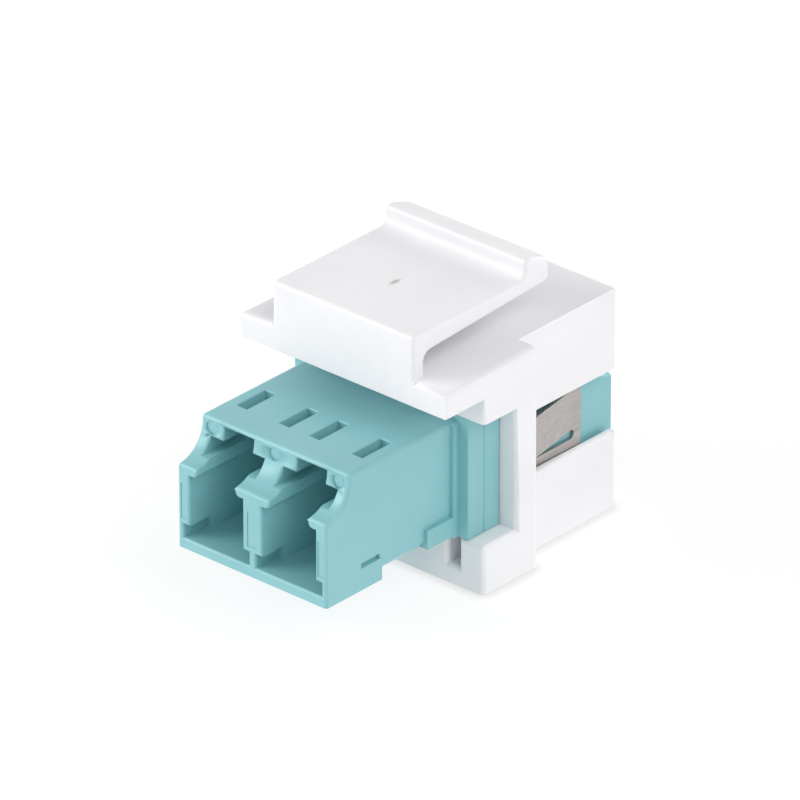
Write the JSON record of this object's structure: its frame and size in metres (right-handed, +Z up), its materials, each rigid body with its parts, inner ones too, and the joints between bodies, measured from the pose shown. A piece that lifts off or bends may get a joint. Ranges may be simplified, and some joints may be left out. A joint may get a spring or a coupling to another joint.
{
  "type": "keystone fibre coupler",
  "caption": "White keystone insert with a sprung latch on top, holding an aqua duplex LC fibre adapter that joins plugs from the wall side to plugs from the room side.",
  "frame": {"origin": "middle of the footprint, on the surface that the housing stands on", "axes": "+X across the two ports, +Y along the fibres from the in-wall end to the face that shows in the room, +Z up to the latch"},
  "size_m": [0.0178, 0.0278, 0.0205],
  "materials": {
    "white_plastic": "satin moulded plastic",
    "aqua_plastic": "satin moulded plastic",
    "clip_steel": "plain rolled strip",
    "sleeve_ceramic": "ground zirconia"
  },
  "bodies": {
    "housing": {"keystone_housing": "white_plastic", "adapter_rear_half": "aqua_plastic", "adapter_front_half": "aqua_plastic", "retaining_clip": "clip_steel", "sleeve_left": "sleeve_ceramic", "sleeve_right": "sleeve_ceramic"},
    "latch": {"latch_arm": "white_plastic"}
  },
  "joints": [
    {"name": "latch_flex", "type": "hinge", "parent": "housing", "child": "latch", "pos_m": [0, -0.00468, 0.01664], "axis": [-1, 0, 0], "range_deg": [0, 9], "stiffness_Nm_per_rad": 0.3}
  ]
}
